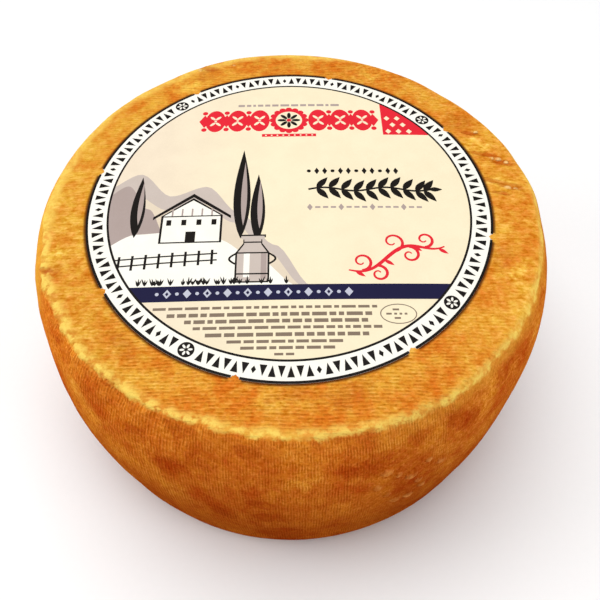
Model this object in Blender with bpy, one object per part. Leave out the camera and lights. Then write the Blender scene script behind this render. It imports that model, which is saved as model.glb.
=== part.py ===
"""A pressed wheel of goat's milk cheese with a round paper label: the construction, in metres, +Z up."""

import math

import bmesh
import bpy
from mathutils import Vector, noise

# Driving dimensions
LABEL_RADIUS = 0.090
LABEL_THICKNESS = 0.0003
LABEL_GAP = 0.0003
LABEL_SHIFT = 0.011 * LABEL_RADIUS
WHEEL_RADIUS = 1.351 * LABEL_RADIUS
WHEEL_HEIGHT = 1.400 * LABEL_RADIUS

# Form of the wheel, turned about Z
TOP_SAG = 0.023 * LABEL_RADIUS
SIDE_BULGE = 0.033 * LABEL_RADIUS
SHOULDER_WIDTH = 0.106 * LABEL_RADIUS
SHOULDER_DROP = 0.262 * LABEL_RADIUS
SHOULDER_POWER = 1.4
SHOULDER_CREST_RADIUS = 1.24 * LABEL_RADIUS
FOOT_WIDTH = 0.077 * LABEL_RADIUS
FOOT_RISE = 0.308 * LABEL_RADIUS
FOOT_POWER = 1.7
TOP_RINGS = 7
SHOULDER_RINGS = 7
SIDE_RINGS = 12
FOOT_RINGS = 5
UNDERSIDE_RINGS = 3
WHEEL_SEGMENTS = 112

# Crumpled shoulder of the rind, smoother at the back, which leaves the label's seat and the underside alone
CRUMPLE_DEPTH = 0.0011
CRUMPLE_LENGTH = 0.013
CRUMPLE_REACH = 0.8 * SHOULDER_DROP
CRUMPLE_FRONT = -0.050
CRUMPLE_BACK = -0.005
CRUMPLE_BACK_SHARE = 0.1
SEAT_MARGIN = 0.006
FOOT_MARGIN = 0.012
NOISE_OFFSET = Vector((3.1, 7.7, 1.9))

# Swells and dents: degrees round the wheel from +X, height above the foot, push outwards and radius
SWELLS = (
    (6, 0.119, 0.0010, 0.012),
    (21, 0.100, 0.0022, 0.024),
    (30, 0.118, -0.0005, 0.020),
    (60, 0.108, -0.0006, 0.026),
    (106, 0.108, 0.0009, 0.030),
    (160, 0.118, -0.0008, 0.030),
    (176, 0.097, -0.0014, 0.022),
    (200, 0.095, -0.0009, 0.030),
    (225, 0.060, 0.0004, 0.040),
    (330, 0.070, -0.0006, 0.030),
    (334, 0.092, 0.0012, 0.022),
    (354, 0.085, 0.0014, 0.024),
)
DENTS = (
    (16, 0.123, -0.0004, 0.006),
    (45, 0.118, -0.0008, 0.012),
    (128, 0.114, -0.0009, 0.014),
    (190, 0.121, -0.0014, 0.009),
    (232, 0.114, -0.0010, 0.013),
    (257, 0.112, -0.0010, 0.010),
    (297, 0.113, -0.0010, 0.013),
    (321, 0.114, -0.0009, 0.011),
)

# Form of the label: a disc with small nicks cut in its edge at equal steps
LABEL_SEGMENTS = 128
LABEL_RING_SHARES = (0.25, 0.5, 0.75, 0.93)
NICKS = 8
FIRST_NICK_ANGLE = 32.2
NICK_DEPTH = 0.0022
NICK_HALF_WIDTH = 0.0008
LEAST_STEP_SHARE = 0.6

# Looks: an edge sharper than this angle stays sharp; colour, roughness and metallic value of each piece
SHARP_ANGLE = math.radians(40)
RIND_LOOK = ((0.72, 0.26, 0.030), 0.55, 0.0)
PAPER_LOOK = ((0.86, 0.78, 0.62), 0.45, 0.0)


def clear_scene():
    for obj in list(bpy.data.objects):
        bpy.data.objects.remove(obj, do_unlink=True)


def material_of(name, look):
    colour, roughness, metallic = look
    material = bpy.data.materials.new(name)
    material.use_nodes = True
    shader = material.node_tree.nodes["Principled BSDF"]
    shader.inputs["Base Color"].default_value = (*colour, 1.0)
    shader.inputs["Roughness"].default_value = roughness
    shader.inputs["Metallic"].default_value = metallic
    return material


def object_of(name, mesh_maker, look):
    bm = bmesh.new()
    mesh_maker(bm)
    bmesh.ops.recalc_face_normals(bm, faces=bm.faces)
    mesh = bpy.data.meshes.new(name)
    bm.to_mesh(mesh)
    bm.free()
    mesh.shade_smooth()
    mesh.set_sharp_from_angle(angle=SHARP_ANGLE)
    mesh.materials.append(material_of(name, look))
    obj = bpy.data.objects.new(name, mesh)
    bpy.context.scene.collection.objects.link(obj)
    return obj


def smooth_step(value):
    value = min(max(value, 0.0), 1.0)
    return value * value * (3.0 - 2.0 * value)


def top_height(radius):
    """Height of the wheel's slightly domed top, before the shoulder."""
    return WHEEL_HEIGHT - LABEL_GAP - LABEL_THICKNESS - TOP_SAG * (radius / LABEL_RADIUS) ** 2


def quarter_curve(steps, power):
    """Shares across and down of a rounded corner, from level to upright."""
    shares = []
    for step in range(1, steps + 1):
        angle = math.pi / 2 * step / steps
        shares.append((math.sin(angle) ** (2 / power), 1.0 - math.cos(angle) ** (2 / power)))
    return shares


def wheel_profile():
    """Outline of the wheel as (radius, height), from the middle of the top to the middle of the underside."""
    edge_radius = WHEEL_RADIUS - SIDE_BULGE
    shoulder_start = edge_radius - SHOULDER_WIDTH
    shoulder_top = top_height(shoulder_start)
    points = []
    for ring in range(1, TOP_RINGS + 1):
        radius = shoulder_start * ring / TOP_RINGS
        points.append((radius, top_height(radius)))
    for across, down in quarter_curve(SHOULDER_RINGS, SHOULDER_POWER):
        points.append((shoulder_start + SHOULDER_WIDTH * across, shoulder_top - SHOULDER_DROP * down))
    side_top = shoulder_top - SHOULDER_DROP
    for ring in range(1, SIDE_RINGS):
        share = ring / SIDE_RINGS
        height = side_top + (FOOT_RISE - side_top) * share
        points.append((edge_radius + SIDE_BULGE * (1.0 - (2.0 * share - 1.0) ** 2), height))
    foot = quarter_curve(FOOT_RINGS, FOOT_POWER)
    foot_start = edge_radius - FOOT_WIDTH
    for across, down in reversed([(0.0, 0.0), *foot]):
        points.append((foot_start + FOOT_WIDTH * across, FOOT_RISE * down))
    for ring in range(1, UNDERSIDE_RINGS):
        points.append((foot_start * (1.0 - ring / UNDERSIDE_RINGS), 0.0))
    return points


def uneven(point):
    """The point moved by the rind's swells, its dents and the crumpling of its shoulder."""
    radius = math.hypot(point.x, point.y)
    seat_radius = LABEL_RADIUS + LABEL_SHIFT
    free = smooth_step((radius - seat_radius) / SEAT_MARGIN) * smooth_step(point.z / FOOT_MARGIN)
    if free == 0.0:
        return point
    outward = Vector((point.x, point.y, 0.0)).normalized()
    shoulder_height = top_height(LABEL_RADIUS) - SHOULDER_DROP / 3
    near_shoulder = 1.0 - smooth_step(abs(point.z - shoulder_height) / CRUMPLE_REACH)
    backward = smooth_step((point.y - CRUMPLE_FRONT) / (CRUMPLE_BACK - CRUMPLE_FRONT))
    crumple = CRUMPLE_DEPTH * near_shoulder * (1.0 - backward * (1.0 - CRUMPLE_BACK_SHARE))
    pushed = noise.noise(point / CRUMPLE_LENGTH + NOISE_OFFSET) * crumple
    for angle, height, push, size in (*SWELLS, *DENTS):
        turn = math.radians(angle)
        reach = WHEEL_RADIUS if height < shoulder_height else SHOULDER_CREST_RADIUS
        centre = Vector((math.cos(turn) * reach, math.sin(turn) * reach, height))
        pushed += push * math.exp(-((point - centre).length / size) ** 2)
    direction = (outward + Vector((0.0, 0.0, near_shoulder))).normalized()
    return point + direction * pushed * free


def make_wheel(bm):
    """Rings of vertices turned about Z, then moved one by one into the uneven form."""
    profile = wheel_profile()
    top_middle = bm.verts.new((0.0, 0.0, top_height(0.0)))
    rings = []
    for radius, height in profile:
        ring = []
        for segment in range(WHEEL_SEGMENTS):
            angle = 2.0 * math.pi * segment / WHEEL_SEGMENTS
            turned = Vector((radius * math.cos(angle), radius * math.sin(angle), height))
            ring.append(bm.verts.new(uneven(turned)))
        rings.append(ring)
    bottom_middle = bm.verts.new((0.0, 0.0, 0.0))
    for segment in range(WHEEL_SEGMENTS):
        following = (segment + 1) % WHEEL_SEGMENTS
        bm.faces.new((top_middle, rings[0][segment], rings[0][following]))
        for upper, lower in zip(rings, rings[1:]):
            bm.faces.new((upper[segment], lower[segment], lower[following], upper[following]))
        bm.faces.new((bottom_middle, rings[-1][following], rings[-1][segment]))


def label_edge():
    """Outline of the label as points round the circle, with a V-shaped nick at each of the equal steps."""
    nick_angles = [math.radians(FIRST_NICK_ANGLE + 360.0 / NICKS * nick) for nick in range(NICKS)]
    half_angle = NICK_HALF_WIDTH / LABEL_RADIUS
    spacing = 2.0 * math.pi / LABEL_SEGMENTS
    places = []
    for segment in range(LABEL_SEGMENTS):
        angle = spacing * segment
        distances = [abs(math.remainder(angle - nick, 2.0 * math.pi)) for nick in nick_angles]
        if min(distances) > LEAST_STEP_SHARE * spacing:
            places.append((angle, LABEL_RADIUS))
    for nick in nick_angles:
        places.append((nick - half_angle, LABEL_RADIUS))
        places.append((nick, LABEL_RADIUS - NICK_DEPTH))
        places.append((nick + half_angle, LABEL_RADIUS))
    return sorted((angle % (2.0 * math.pi), radius) for angle, radius in places)


def make_label(bm):
    """A thin domed disc: the same rings above and below, joined round the edge."""
    edge = label_edge()
    layers = []
    for lift in (LABEL_GAP, LABEL_GAP + LABEL_THICKNESS):
        middle = bm.verts.new((0.0, LABEL_SHIFT, top_height(LABEL_SHIFT) + lift))
        rings = []
        for share in (*LABEL_RING_SHARES, None):
            ring = []
            for angle, edge_radius in edge:
                radius = edge_radius if share is None else LABEL_RADIUS * share
                across, along = radius * math.cos(angle), LABEL_SHIFT + radius * math.sin(angle)
                ring.append(bm.verts.new((across, along, top_height(math.hypot(across, along)) + lift)))
            rings.append(ring)
        layers.append((middle, rings))
    for place in range(len(edge)):
        following = (place + 1) % len(edge)
        for middle, rings in layers:
            bm.faces.new((middle, rings[0][place], rings[0][following]))
            for inner, outer in zip(rings, rings[1:]):
                bm.faces.new((inner[place], outer[place], outer[following], inner[following]))
        lower, upper = layers[0][1][-1], layers[1][1][-1]
        bm.faces.new((lower[place], lower[following], upper[following], upper[place]))


def main():
    clear_scene()
    object_of("cheese_wheel", make_wheel, RIND_LOOK)
    object_of("label", make_label, PAPER_LOOK)


main()
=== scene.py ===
"""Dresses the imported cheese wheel: a cloth-marked rind, a printed paper label and a pale studio stage."""

import math
import random

import bmesh
import bpy
from bpy.props import FloatProperty, FloatVectorProperty, IntProperty, PointerProperty
from mathutils import Matrix, Vector, noise
from mathutils.geometry import delaunay_2d_cdt


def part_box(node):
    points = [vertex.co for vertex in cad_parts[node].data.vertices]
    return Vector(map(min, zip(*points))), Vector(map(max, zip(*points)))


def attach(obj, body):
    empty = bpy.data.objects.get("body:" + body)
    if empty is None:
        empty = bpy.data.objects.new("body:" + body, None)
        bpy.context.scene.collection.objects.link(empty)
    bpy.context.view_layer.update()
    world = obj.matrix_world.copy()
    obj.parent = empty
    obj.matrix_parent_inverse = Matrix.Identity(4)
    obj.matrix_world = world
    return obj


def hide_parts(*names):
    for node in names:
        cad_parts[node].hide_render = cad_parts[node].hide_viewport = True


bl_info = {
    "name": "Cheese Wheel Dresser",
    "version": (1, 0, 0),
    "blender": (4, 5, 0),
    "location": "View3D > Sidebar > Cheese Wheel",
    "description": "Makes the rind, the printed label and the studio stage of a packed cheese wheel",
    "category": "Object",
}

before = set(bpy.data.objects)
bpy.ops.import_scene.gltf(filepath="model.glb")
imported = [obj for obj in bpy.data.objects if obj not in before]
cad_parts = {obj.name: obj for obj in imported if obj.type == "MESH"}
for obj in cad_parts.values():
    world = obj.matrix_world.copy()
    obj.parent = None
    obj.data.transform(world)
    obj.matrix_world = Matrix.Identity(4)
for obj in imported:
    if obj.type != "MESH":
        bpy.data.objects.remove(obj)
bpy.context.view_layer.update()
LABEL_LOW, LABEL_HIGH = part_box("label")

# Sizes that the frame gives
LABEL_RADIUS = round((LABEL_HIGH.x - LABEL_LOW.x) / 2, 4)
LABEL_SHIFT = (LABEL_HIGH.y + LABEL_LOW.y) / 2
WHEEL_HEIGHT = LABEL_HIGH.z

# Form of the wheel: the same named sizes as its solid has, in label radii
TOP_SAG = 0.023 * LABEL_RADIUS
WHEEL_RADIUS = 1.351 * LABEL_RADIUS
SIDE_BULGE = 0.033 * LABEL_RADIUS
SHOULDER_WIDTH = 0.106 * LABEL_RADIUS
SHOULDER_DROP = 0.262 * LABEL_RADIUS
SHOULDER_POWER = 1.4
SHOULDER_CREST_RADIUS = 1.24 * LABEL_RADIUS
FOOT_WIDTH = 0.077 * LABEL_RADIUS
FOOT_RISE = 0.308 * LABEL_RADIUS
FOOT_POWER = 1.7
EDGE_RADIUS = WHEEL_RADIUS - SIDE_BULGE
SHOULDER_START = EDGE_RADIUS - SHOULDER_WIDTH

# Crumpled shoulder, and swells and dents (degrees, height, push, radius), as its solid has them
CRUMPLE_DEPTH = 0.0011
CRUMPLE_LENGTH = 0.013
CRUMPLE_REACH = 0.8 * SHOULDER_DROP
CRUMPLE_FRONT = -0.050
CRUMPLE_BACK = -0.005
CRUMPLE_BACK_SHARE = 0.1
SEAT_MARGIN = 0.006
FOOT_MARGIN = 0.012
NOISE_OFFSET = Vector((3.1, 7.7, 1.9))
SWELLS = (
    (6, 0.119, 0.0010, 0.012), (21, 0.100, 0.0022, 0.024), (30, 0.118, -0.0005, 0.020),
    (60, 0.108, -0.0006, 0.026), (106, 0.108, 0.0009, 0.030), (160, 0.118, -0.0008, 0.030),
    (176, 0.097, -0.0014, 0.022), (200, 0.095, -0.0009, 0.030), (225, 0.060, 0.0004, 0.040),
    (330, 0.070, -0.0006, 0.030), (334, 0.092, 0.0012, 0.022), (354, 0.085, 0.0014, 0.024),
)
DENTS = (
    (16, 0.123, -0.0004, 0.006), (45, 0.118, -0.0008, 0.012), (128, 0.114, -0.0009, 0.014),
    (190, 0.121, -0.0014, 0.009), (232, 0.114, -0.0010, 0.013), (257, 0.112, -0.0010, 0.010),
    (297, 0.113, -0.0010, 0.013), (321, 0.114, -0.0009, 0.011),
)

# Rings of the fine rind from the middle of the top down to the middle of the underside
RIND_SEGMENTS = 520
SEAT_RINGS = 5
MARGIN_RINGS = 26
SHOULDER_RINGS = 42
SIDE_RINGS = 70
FOOT_RINGS = 24
UNDERSIDE_RINGS = 8
PAPER_THICKNESS = 0.00015
PAPER_CLEARANCE = 0.00004

# Form of the label
NICKS = 8
NICK_DEPTH = 0.0018
NICK_HALF_ANGLE = math.radians(0.45)
NICK_STEP_ANGLE = math.radians(1.1)
NICK_STEP = 0.0130
LABEL_TURN = math.radians(0.7)
FIRST_NICK_ANGLE = math.radians(32.2) - LABEL_TURN
SHARP_ANGLE = math.radians(40)


def smooth_step(value):
    value = min(max(value, 0.0), 1.0)
    return value * value * (3.0 - 2.0 * value)


def around(radius, angle, x=0.0, y=0.0):
    """The place at a radius and an angle from (x, y)."""
    return x + radius * math.cos(angle), y + radius * math.sin(angle)


def placed(name, data):
    """A new object in the scene that holds the data."""
    holder = bpy.data.objects.new(name, data)
    bpy.context.scene.collection.objects.link(holder)
    return holder


# Node helpers

BUMP_DEPTH = 0.00025


class Wire:
    """One output socket, with Python's operators and a few methods that add nodes after it."""

    def __init__(self, board, socket):
        self.board = board
        self.socket = socket

    def __add__(self, other):
        return self.board.math("ADD", self, other)

    def __sub__(self, other):
        return self.board.math("SUBTRACT", self, other)

    def __rsub__(self, other):
        return self.board.math("SUBTRACT", other, self)

    def __mul__(self, other):
        return self.board.math("MULTIPLY", self, other)

    def __rtruediv__(self, other):
        return self.board.math("DIVIDE", other, self)

    def __abs__(self):
        return self.board.math("ABSOLUTE", self)

    __radd__ = __add__
    __rmul__ = __mul__

    def ease(self, low, high):
        """0 at low, 1 at high, eased at both ends; low may be the greater."""
        limits = {"Value": self, "From Min": min(low, high), "From Max": max(low, high)}
        eased = self.board.add("ShaderNodeMapRange", {"interpolation_type": "SMOOTHSTEP"}, limits)
        return 1.0 - eased if low > high else eased

    def wave(self, pitch):
        """From 1 to 0 and back once in each pitch."""
        return self.board.math("COSINE", self * (math.tau / pitch)) * 0.5 + 0.5

    def toward(self, share, colour):
        """This colour, blended with another by a share."""
        return self.board.blend(share, self, colour)

    def shaded(self, share, shade):
        """This colour, multiplied by a shade as far as the share says."""
        return self.board.blend(share, self, shade, "MULTIPLY")


class Board:
    """A node tree to which nodes are added by type, settings and socket values."""

    def __init__(self, tree):
        self.tree = tree

    def add(self, kind, settings=None, sockets=None, output=0):
        node = self.tree.nodes.new(kind)
        for name, value in (settings or {}).items():
            setattr(node, name, value)
        for name, value in (sockets or {}).items():
            self.join(value, node.inputs[name])
        return Wire(self, node.outputs[output])

    def join(self, value, socket):
        if isinstance(value, Wire):
            self.tree.links.new(value.socket, socket)
        else:
            socket.default_value = value

    def math(self, operation, *values):
        return self.add("ShaderNodeMath", {"operation": operation}, dict(enumerate(values)))

    def vector_math(self, operation, *values, output=0):
        return self.add("ShaderNodeVectorMath", {"operation": operation}, dict(enumerate(values)), output)

    def place(self):
        return self.add("ShaderNodeTexCoord", output=3)

    def vector(self, x, y, z):
        return self.add("ShaderNodeCombineXYZ", None, {0: x, 1: y, 2: z})

    def parts(self, vector):
        first = self.add("ShaderNodeSeparateXYZ", None, {0: vector})
        return [Wire(self, output) for output in first.socket.node.outputs]

    def noise(self, vector, scale, detail=2.0, roughness=0.5, output=0):
        values = {"Vector": vector, "Scale": scale, "Detail": detail, "Roughness": roughness}
        return self.add("ShaderNodeTexNoise", None, values, output)

    def blend(self, share, first, second, how="MIX"):
        """Mix of two colours."""
        settings = {"data_type": "RGBA", "blend_type": how}
        return self.add("ShaderNodeMix", settings, {0: share, 6: rgba(first), 7: rgba(second)}, output=2)

    def attribute(self, name):
        return self.add("ShaderNodeAttribute", {"attribute_name": name}, None, output=2)


def rgba(colour):
    return colour if isinstance(colour, Wire) else (*tuple(colour)[:3], 1.0)


def new_material(name, specular):
    """An empty board with its Principled shader, for one finish."""
    material = bpy.data.materials.new(name)
    material.use_nodes = True
    shader = material.node_tree.nodes["Principled BSDF"]
    shader.inputs["Specular IOR Level"].default_value = specular
    return material, Board(material.node_tree), shader


def add_bump(board, shader, height):
    bump = board.add("ShaderNodeBump", None, {"Height": height, "Distance": BUMP_DEPTH})
    board.join(bump, shader.inputs["Normal"])


# Settings that a user would change

def metres(name, description, default):
    return FloatProperty(name=name, description=description, default=default, min=0.0, max=1.0,
                         precision=5, subtype="DISTANCE", unit="LENGTH")


def colour(name, description, default):
    return FloatVectorProperty(name=name, description=description, default=default, min=0.0, max=1.0,
                               size=3, subtype="COLOR")


def number(name, description, default, **more):
    return FloatProperty(name=name, description=description, default=default, **more)


class RindSettings(bpy.types.PropertyGroup):
    """Relief and colours of the rind."""
    fold_depth: metres("Fold depth", "Depth of the creases that the cloth leaves on the shoulder", 0.0008)
    fold_size: metres("Fold size", "Distance between creases on the shoulder", 0.0060)
    ripple_depth: metres("Ripple depth", "Depth of the slow ripples all over the rind", 0.0004)
    ripple_size: metres("Ripple size", "Length of the slow ripples", 0.0180)
    pleat_depth: metres("Pleat depth", "Depth of the small pleats across the rubbed edge", 0.0013)
    pleat_size: metres("Pleat size", "Distance between the small pleats", 0.0050)
    lump_height: metres("Lump height", "Height of the small lumps low on the side", 0.0010)
    seed: IntProperty(name="Seed", description="Changes where the creases and ripples fall", default=4)
    gold: colour("Gold", "The lighter patches of the top", (0.780, 0.420, 0.049))
    orange: colour("Orange", "The darker patches of the top", (0.639, 0.158, 0.011))
    # This colour is the rubbed wear of the edge together with a painted sheen
    crest: colour("Crest", "The pale rubbed edge between top and side", (0.87, 0.63, 0.128))
    ochre: colour("Ochre", "The lighter patches of the side", (0.81, 0.275, 0.0235))
    russet: colour("Russet", "The darker patches of the side", (0.53, 0.074, 0.0048))
    tan: colour("Tan", "The lighter patches of the low part of the side", (0.42, 0.106, 0.0074))
    umber: colour("Umber", "The darker patches of the low part of the side", (0.287, 0.041, 0.0033))
    # This colour is a painted shadow along the label's edge
    label_edge_shadow: colour("Stain", "The dark line where oil gathers round the label", (0.075, 0.016, 0.004))
    # This colour is a painted highlight on the tops of the small lumps low on the side
    lump_highlight: colour("Scuff", "The smooth wrinkles where the cloth left no mark", (0.95, 0.44, 0.12))
    # This colour is a painted highlight on the small nubs of the top
    nub_highlight: colour("Nub", "The pale nubs on the top", (0.95, 0.62, 0.24))


class LabelSettings(bpy.types.PropertyGroup):
    """Paper and inks of the label."""
    cream: colour("Cream", "The paper's printed ground", (0.86, 0.755, 0.535))
    blush: colour("Blush", "The pinkish tint on the left of the ground", (0.800, 0.680, 0.525))
    white: colour("White", "The border of the label", (0.90, 0.875, 0.79))
    black: colour("Black", "The dark ink", (0.012, 0.010, 0.009))
    navy: colour("Navy", "The band across the lower part", (0.014, 0.013, 0.048))
    silver: colour("Silver", "The pale marks on the band", (0.50, 0.51, 0.60))
    red: colour("Red", "The bright ink", (0.72, 0.022, 0.038))
    mauve: colour("Mauve", "The dark tint of the picture", (0.40, 0.320, 0.295))
    grey: colour("Grey", "The middle tint of the picture", (0.55, 0.47, 0.42))
    brown: colour("Brown", "The small print's ink", (0.22, 0.165, 0.12))
    seed: IntProperty(name="Seed", description="Changes the lengths of the small dashes", default=7)


class StageSettings(bpy.types.PropertyGroup):
    """Camera and lights."""
    lens: number("Lens", "Focal length of the camera", 39.6, unit="CAMERA")
    pitch: number("Pitch", "How far the camera looks down", math.radians(55.91), subtype="ANGLE")
    roll: number("Roll", "Turn of the camera about its view", math.radians(-0.155), subtype="ANGLE")
    key_power: number("Key power", "Power of the lamp overhead", 24.0, unit="POWER")
    side_power: number("Side power", "Power of the side lamps", 6.0, unit="POWER")
    sky: number("Sky", "Strength of the white surroundings", 0.35)


# The rind

STORED = ("free", "shoulder", "reach")
RELIEF_SIZES = (
    "fold_depth", "fold_size", "ripple_depth", "ripple_size", "pleat_depth", "pleat_size", "lump_height",
)


def top_height(radius):
    """Height of the wheel's domed top under the paper of the label."""
    lift = PAPER_THICKNESS + PAPER_CLEARANCE
    return WHEEL_HEIGHT - lift - TOP_SAG * (radius / LABEL_RADIUS) ** 2


def quarter_curve(steps, power):
    """Shares across and down of a rounded corner, from level to upright."""
    angles = [math.pi / 2 * step / steps for step in range(1, steps + 1)]
    return [(math.sin(angle) ** (2 / power), 1.0 - math.cos(angle) ** (2 / power)) for angle in angles]


def rind_profile():
    """The wheel's outline as (radius, height), from the top down to the middle of the underside."""
    seat_edge = LABEL_RADIUS + LABEL_SHIFT - 2 * SEAT_MARGIN / 3
    margin = SHOULDER_START - seat_edge
    radii = [seat_edge * ring / SEAT_RINGS for ring in range(1, SEAT_RINGS + 1)]
    radii += [seat_edge + margin * ring / MARGIN_RINGS for ring in range(1, MARGIN_RINGS + 1)]
    points = [(radius, top_height(radius)) for radius in radii]
    shoulder_top = top_height(SHOULDER_START)
    for across, down in quarter_curve(SHOULDER_RINGS, SHOULDER_POWER):
        points.append((SHOULDER_START + SHOULDER_WIDTH * across, shoulder_top - SHOULDER_DROP * down))
    side_top = shoulder_top - SHOULDER_DROP
    for ring in range(1, SIDE_RINGS):
        share = ring / SIDE_RINGS
        height = side_top + (FOOT_RISE - side_top) * share
        points.append((EDGE_RADIUS + SIDE_BULGE * (1.0 - (2.0 * share - 1.0) ** 2), height))
    foot_start = EDGE_RADIUS - FOOT_WIDTH
    for across, down in reversed([(0.0, 0.0), *quarter_curve(FOOT_RINGS, FOOT_POWER)]):
        points.append((foot_start + FOOT_WIDTH * across, FOOT_RISE * down))
    for ring in range(1, UNDERSIDE_RINGS):
        points.append((foot_start * (1.0 - ring / UNDERSIDE_RINGS), 0.0))
    return points


def swelled(point):
    """The point moved by the wheel's uneven form, how free it is to move and how near the shoulder it is."""
    radius = math.hypot(point.x, point.y)
    seat_radius = LABEL_RADIUS + LABEL_SHIFT
    free = smooth_step((radius - seat_radius) / SEAT_MARGIN) * smooth_step(point.z / FOOT_MARGIN)
    if free == 0.0:
        return point, 0.0, 0.0
    outward = Vector((point.x, point.y, 0.0)).normalized()
    shoulder_height = top_height(LABEL_RADIUS) - SHOULDER_DROP / 3
    near_shoulder = 1.0 - smooth_step(abs(point.z - shoulder_height) / CRUMPLE_REACH)
    backward = smooth_step((point.y - CRUMPLE_FRONT) / (CRUMPLE_BACK - CRUMPLE_FRONT))
    crumple = CRUMPLE_DEPTH * near_shoulder * (1.0 - backward * (1.0 - CRUMPLE_BACK_SHARE))
    pushed = noise.noise(point / CRUMPLE_LENGTH + NOISE_OFFSET) * crumple
    for angle, height, push, size in (*SWELLS, *DENTS):
        reach = WHEEL_RADIUS if height < shoulder_height else SHOULDER_CREST_RADIUS
        centre = Vector((*around(reach, math.radians(angle)), height))
        pushed += push * math.exp(-((point - centre).length / size) ** 2)
    direction = (outward + Vector((0.0, 0.0, near_shoulder))).normalized()
    return point + direction * pushed * free, free, near_shoulder


def turned_rind():
    """The fine rind as a closed turned mesh, with what its relief and colours read stored at each point."""
    corners = [Vector((0.0, 0.0, top_height(0.0)))]
    stored = [(0.0, 0.0, 0.0)]
    before = (0.0, top_height(0.0))
    reach = 0.0
    for radius, height in rind_profile():
        reach += math.hypot(radius - before[0], height - before[1])
        before = (radius, height)
        for segment in range(RIND_SEGMENTS):
            point = Vector((*around(radius, math.tau * segment / RIND_SEGMENTS), height))
            moved, free, near_shoulder = swelled(point)
            corners.append(moved)
            stored.append((free, near_shoulder, reach))
    corners.append(Vector((0.0, 0.0, 0.0)))
    stored.append((0.0, 0.0, reach + before[0]))
    faces = []
    last = len(corners) - 1
    for segment in range(RIND_SEGMENTS):
        following = (segment + 1) % RIND_SEGMENTS
        faces.append((0, 1 + segment, 1 + following))
        for upper in range(1, last - RIND_SEGMENTS, RIND_SEGMENTS):
            lower = upper + RIND_SEGMENTS
            faces.append((upper + segment, lower + segment, lower + following, upper + following))
        faces.append((last, lower + following, lower + segment))
    mesh = bpy.data.meshes.new("turned_rind")
    mesh.from_pydata(corners, [], faces)
    mesh.shade_smooth()
    for name, values in zip(STORED, zip(*stored)):
        mesh.attributes.new(name, "FLOAT", "POINT").data.foreach_set("value", values)
    return mesh


def socket_name(setting):
    return setting.replace("_", " ").title()


def relief_tree():
    """Geometry nodes that push the rind along its normals: creases, pleats, ripples and small lumps."""
    tree = bpy.data.node_groups.new("Rind Relief", "GeometryNodeTree")
    kinds = {"Geometry": "Geometry", **{socket_name(size): "Float" for size in RELIEF_SIZES},
             "Seed": "Int", "Material": "Material"}
    for name, kind in kinds.items():
        tree.interface.new_socket(name, in_out="INPUT", socket_type="NodeSocket" + kind)
    tree.interface.new_socket("Geometry", in_out="OUTPUT", socket_type="NodeSocketGeometry")
    board = Board(tree)
    given = tree.nodes.new("NodeGroupInput")
    inputs = {output.name: Wire(board, output) for output in given.outputs if output.name}
    place = board.add("GeometryNodeInputPosition")
    normal = board.add("GeometryNodeInputNormal")
    number_kind = {"data_type": "FLOAT"}
    free, shoulder, reach = [board.add("GeometryNodeInputNamedAttribute", number_kind, {"Name": name})
                             for name in STORED]
    moved = board.vector_math("ADD", place, inputs["Seed"])
    x, y, z = board.parts(moved)
    fold = board.noise(board.vector(x, y, z * 0.55), 1.0 / inputs["Fold Size"], 2.0, 0.55)
    crease = 1.0 - abs(fold - 0.5) * 4.0
    ripple = board.noise(moved, 1.0 / inputs["Ripple Size"], 3.0, 0.5)
    x, y, z = board.parts(place)
    rough = (x.ease(0.03, -0.10) * 0.75 + 0.25) * (y.ease(0.0, -0.045) * 0.85 + 0.15)
    rough = rough * (1.0 - x.ease(-0.100, -0.118) * 0.5)
    push = (crease - 0.6) * inputs["Fold Depth"] * shoulder * shoulder * rough
    push = push + (ripple - 0.5) * 2.0 * inputs["Ripple Depth"] * (rough * 0.6 + 0.4)
    pleat = board.noise(place, 1.0 / inputs["Pleat Size"], 2.0, 0.5)
    past = reach - SHOULDER_START
    band = past.ease(-0.006, -0.001) * past.ease(0.010, 0.003)
    push = push + (pleat - 0.5) * 2.0 * inputs["Pleat Depth"] * band * rough
    lumps = marks(board, place, WRINKLES) + marks(board, place, NUBS, NUB_LINE) * 0.7
    lumps = lumps - marks(board, place, FURROWS, FURROW_LINE) * 0.35
    push = (push + lumps * inputs["Lump Height"]) * free
    offset = board.add("ShaderNodeVectorMath", {"operation": "SCALE"}, {0: normal, "Scale": push})
    warped = warp(board, place, 90.0, 0.012)
    tone = marks(board, warped, LIGHT_PATCHES) - marks(board, warped, DARK_PATCHES)
    noted = inputs["Geometry"]
    for name, value in (("pleat", pleat), ("tone", tone)):
        noted = board.add("GeometryNodeStoreNamedAttribute", {**number_kind, "domain": "POINT"},
                          {"Geometry": noted, "Name": name, "Value": value})
    pushed = board.add("GeometryNodeSetPosition", None, {"Geometry": noted, "Offset": offset})
    whole = board.add("GeometryNodeRealizeInstances", None, {0: pushed})
    painted = board.add("GeometryNodeSetMaterial", None, {"Geometry": whole, "Material": inputs["Material"]})
    board.join(painted, tree.nodes.new("NodeGroupOutput").inputs[0])
    return tree


def made_plain(source, name):
    """The evaluated object as a plain mesh object of its own; the source is removed."""
    depsgraph = bpy.context.evaluated_depsgraph_get()
    mesh = bpy.data.meshes.new_from_object(source.evaluated_get(depsgraph), depsgraph=depsgraph)
    mesh.name = name
    bpy.data.objects.remove(source, do_unlink=True)
    return placed(name, mesh)


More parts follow.
